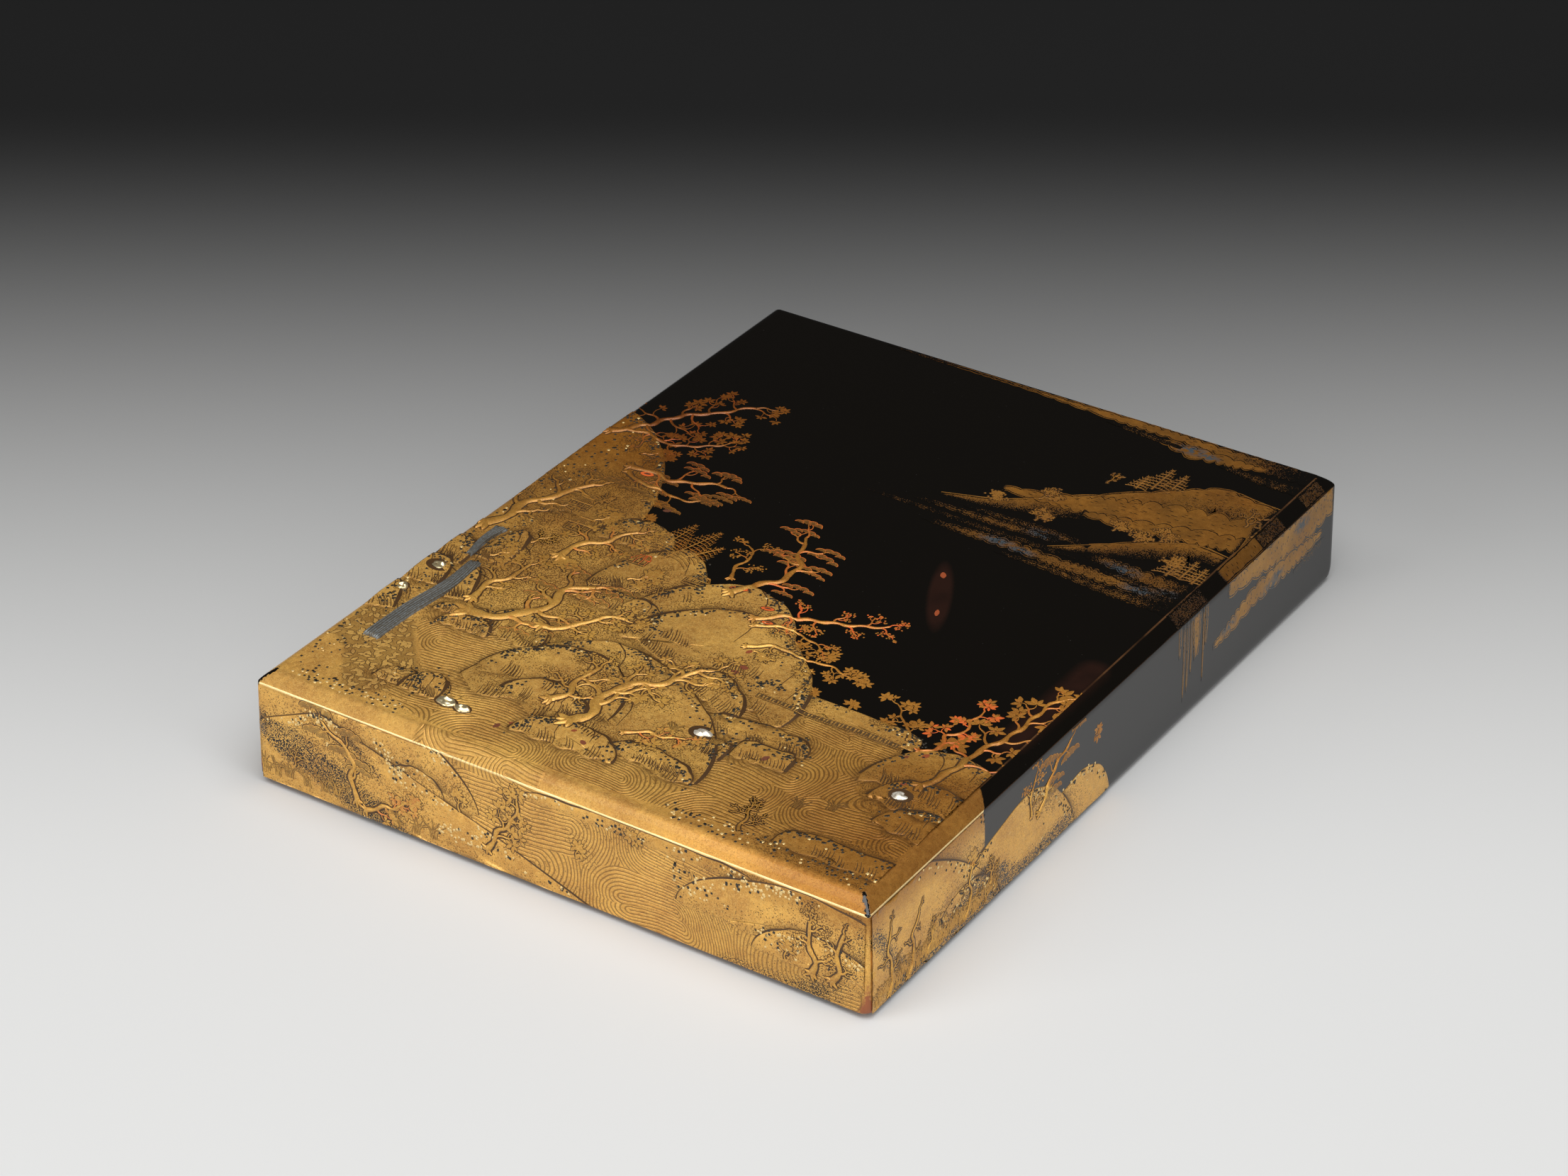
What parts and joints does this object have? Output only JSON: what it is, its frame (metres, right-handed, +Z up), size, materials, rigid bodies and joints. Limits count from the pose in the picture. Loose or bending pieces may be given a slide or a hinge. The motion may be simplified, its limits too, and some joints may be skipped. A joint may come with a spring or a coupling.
{
  "type": "lacquer writing box",
  "caption": "Rectangular lacquered box for ink and brushes: a deep lift-off lid with a sloped edge, a raised gold landscape and small metal inlays, over a shallow tray.",
  "frame": {"origin": "centre of the overall footprint, on the table under the tray's foot", "axes": "+Z up; +Y along the long side, towards the plain black end of the lid; the decorated short wall faces -Y"},
  "size_m": [0.1934, 0.2512, 0.0367],
  "materials": {
    "gold_and_black_lacquer": "polished black lacquer with a raised and sprinkled gold landscape",
    "black_lacquer": "black lacquer with sparse gold powder",
    "pewter": "combed, dull blue-grey",
    "gold_metal": "bright, rubbed",
    "silver_metal": "bright, slightly tarnished"
  },
  "bodies": {
    "root": {"lid": "gold_and_black_lacquer", "tray": "black_lacquer", "upper_stream_inlay": "pewter", "lower_stream_inlay": "pewter", "cliff_nugget_upper": "gold_metal", "cliff_nugget_lower": "gold_metal", "shore_nugget_left": "gold_metal", "shore_nugget_right": "gold_metal", "centre_nugget": "silver_metal", "island_nugget": "silver_metal"}
  },
  "joints": []
}
